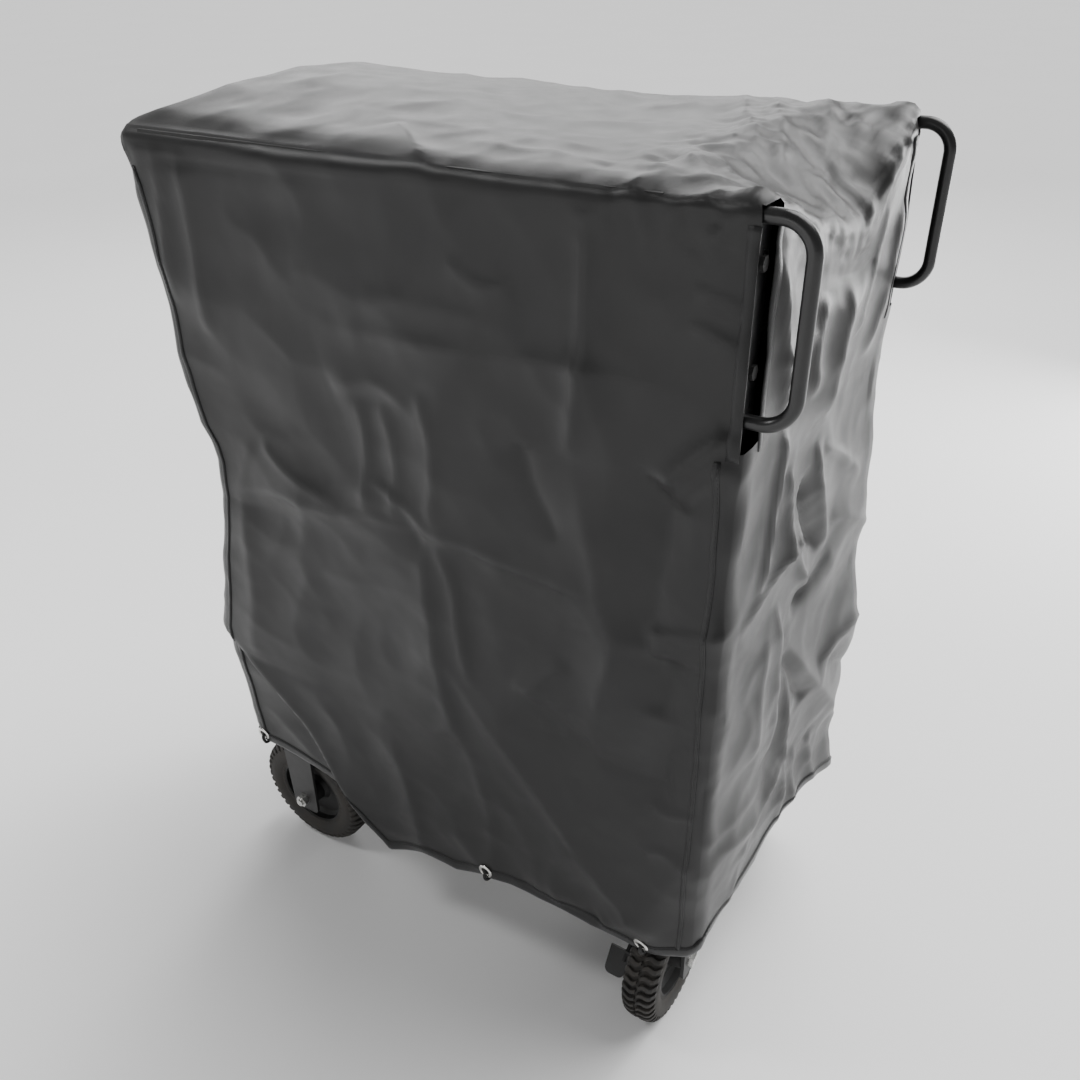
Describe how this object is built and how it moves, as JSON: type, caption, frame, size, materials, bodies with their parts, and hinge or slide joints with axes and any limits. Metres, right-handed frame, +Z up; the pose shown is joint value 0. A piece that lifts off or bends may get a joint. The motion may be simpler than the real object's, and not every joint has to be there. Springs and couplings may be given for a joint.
{
  "type": "covered push cart",
  "caption": "Box-shaped push cart on rigid and swivel casters, with D handles at one end, under a fitted charcoal fabric cover with a corded hem.",
  "frame": {"origin": "on the ground, under the middle of the overall box from the left tyres to the handles", "axes": "+X along the cart towards the handles and the swivel casters, +Y to the back, +Z up"},
  "size_m": [0.8616, 0.513, 1.163],
  "materials": {
    "cover_fabric": "PVC-coated polyester, semi-gloss",
    "handle_paint": "semi-gloss black",
    "frame_paint": "satin black powder coat",
    "caster_paint": "satin black",
    "zinc_plate": "bright zinc plate",
    "grommet_nickel": "nickel plate",
    "cord_elastic": "braided elastic cord",
    "tyre": "dusty black rubber",
    "wheel_rim": "satin black",
    "bush_plastic": "moulded nylon"
  },
  "bodies": {
    "cart": {"base_cross_rails": "frame_paint", "base_long_rails": "frame_paint", "bottom_deck": "frame_paint", "caster_bolts": "zinc_plate", "caster_pads": "frame_paint", "cord_ferrule": "zinc_plate", "cover_back": "cover_fabric", "cover_front": "cover_fabric", "cover_left": "cover_fabric", "cover_right": "cover_fabric", "cover_top": "cover_fabric", "grommets": "grommet_nickel", "handle_back": "handle_paint", "handle_bolts": "zinc_plate", "handle_cross_rail": "frame_paint", "handle_front": "handle_paint", "handle_mount_back": "handle_paint", "handle_mount_front": "handle_paint", "handle_weld_nuts": "zinc_plate", "hem_cord": "cord_elastic", "king_nuts": "zinc_plate", "king_pins": "zinc_plate", "post_back_left": "frame_paint", "post_back_right": "frame_paint", "post_front_left": "frame_paint", "post_front_right": "frame_paint", "rigid_axle_nuts": "zinc_plate", "rigid_axle_sleeves": "zinc_plate", "rigid_axles": "zinc_plate", "rigid_fork_back": "caster_paint", "rigid_fork_front": "caster_paint", "swivel_plate_back": "caster_paint", "swivel_plate_front": "caster_paint", "swivel_race_back": "zinc_plate", "swivel_race_front": "zinc_plate", "top_cross_rail": "frame_paint", "top_deck": "frame_paint", "top_long_rails": "frame_paint"},
    "wheel_front_left": {"bushes_front_left": "bush_plastic", "rim_front_left": "wheel_rim", "tyre_front_left": "tyre"},
    "wheel_back_left": {"bushes_back_left": "bush_plastic", "rim_back_left": "wheel_rim", "tyre_back_left": "tyre"},
    "fork_front_right": {"brake_pin": "zinc_plate", "swivel_axle_front": "zinc_plate", "swivel_axle_nut_front": "zinc_plate", "swivel_axle_sleeve_front": "zinc_plate", "swivel_fork_front": "caster_paint"},
    "fork_back_right": {"swivel_axle_back": "zinc_plate", "swivel_axle_nut_back": "zinc_plate", "swivel_axle_sleeve_back": "zinc_plate", "swivel_fork_back": "caster_paint"},
    "wheel_front_right": {"bushes_front_right": "bush_plastic", "rim_front_right": "wheel_rim", "tyre_front_right": "tyre"},
    "wheel_back_right": {"bushes_back_right": "bush_plastic", "rim_back_right": "wheel_rim", "tyre_back_right": "tyre"},
    "brake_pedal": {"brake_lever": "caster_paint"}
  },
  "joints": [
    {"name": "wheel_front_left_spin", "type": "hinge", "parent": "cart", "child": "wheel_front_left", "pos_m": [-0.32925, -0.172, 0.1015], "axis": [0, 1, 0], "continuous": true},
    {"name": "caster_front_right_swivel", "type": "hinge", "parent": "cart", "child": "fork_front_right", "pos_m": [0.31575, -0.129, 0.22], "axis": [0, 0, 1], "continuous": true},
    {"name": "wheel_front_right_spin", "type": "hinge", "parent": "fork_front_right", "child": "wheel_front_right", "pos_m": [0.31575, -0.155, 0.1015], "axis": [1, 0, 0], "continuous": true},
    {"name": "wheel_back_left_spin", "type": "hinge", "parent": "cart", "child": "wheel_back_left", "pos_m": [-0.32925, 0.172, 0.1015], "axis": [0, 1, 0], "continuous": true},
    {"name": "caster_back_right_swivel", "type": "hinge", "parent": "cart", "child": "fork_back_right", "pos_m": [0.31575, 0.129, 0.22], "axis": [0, 0, 1], "continuous": true},
    {"name": "wheel_back_right_spin", "type": "hinge", "parent": "fork_back_right", "child": "wheel_back_right", "pos_m": [0.31575, 0.155, 0.1015], "axis": [1, 0, 0], "continuous": true},
    {"name": "brake_pedal_press", "type": "hinge", "parent": "fork_front_right", "child": "brake_pedal", "pos_m": [0.27625, -0.156, 0.14], "axis": [1, 0, 0], "range_deg": [0, 16]}
  ]
}
